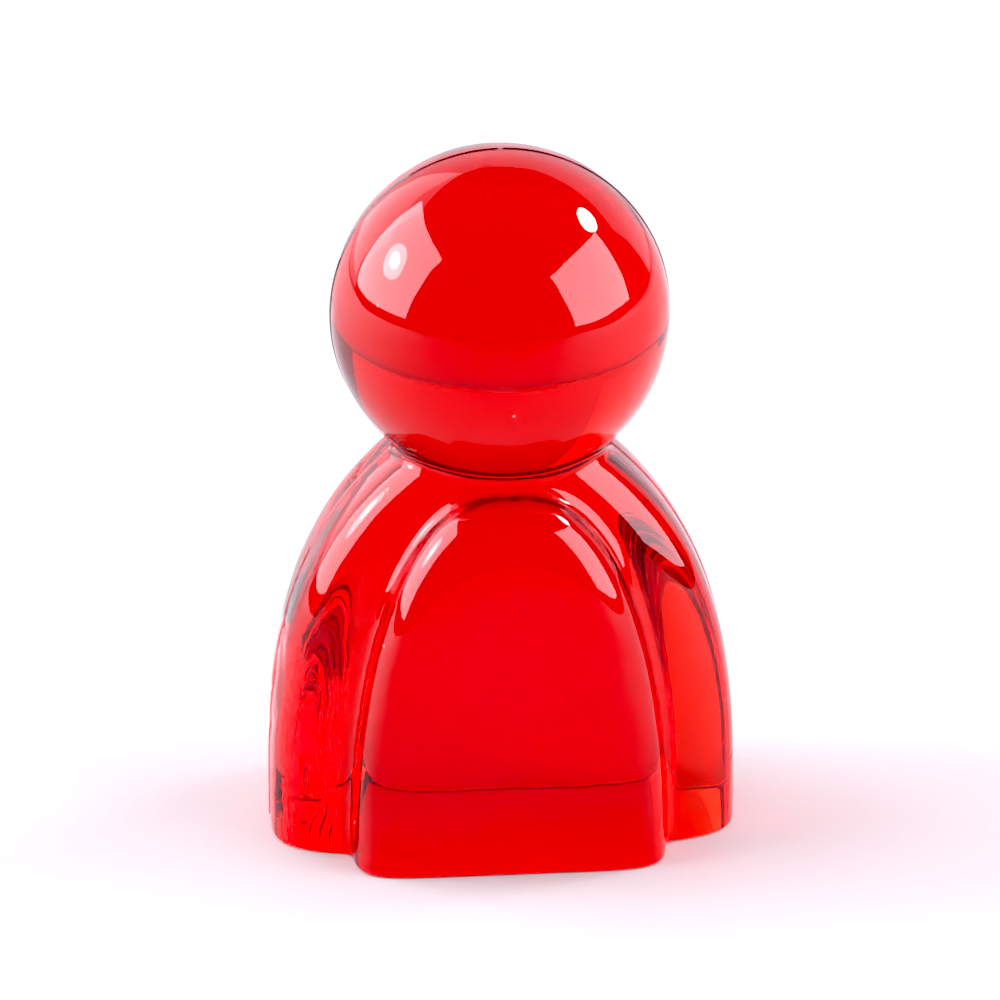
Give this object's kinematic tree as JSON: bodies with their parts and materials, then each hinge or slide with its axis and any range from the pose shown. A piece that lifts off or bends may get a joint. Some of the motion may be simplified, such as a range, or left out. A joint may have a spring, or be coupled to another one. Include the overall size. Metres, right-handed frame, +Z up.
{
  "type": "game pawn",
  "caption": "Transparent red acrylic board-game pawn shaped like a person: a ball head on an arched torso with two arms, moulded in one piece, on a flat base.",
  "frame": {"origin": "centre of the flat base, at the level of the table that the pawn stands on", "axes": "+X across the arms, -Y out of the front of the torso, +Z up through the head"},
  "size_m": [0.0168, 0.0118, 0.025],
  "materials": {
    "red_acrylic": "clear, deeply tinted and polished by the mould"
  },
  "bodies": {
    "root": {"pawn": "red_acrylic"}
  },
  "joints": []
}
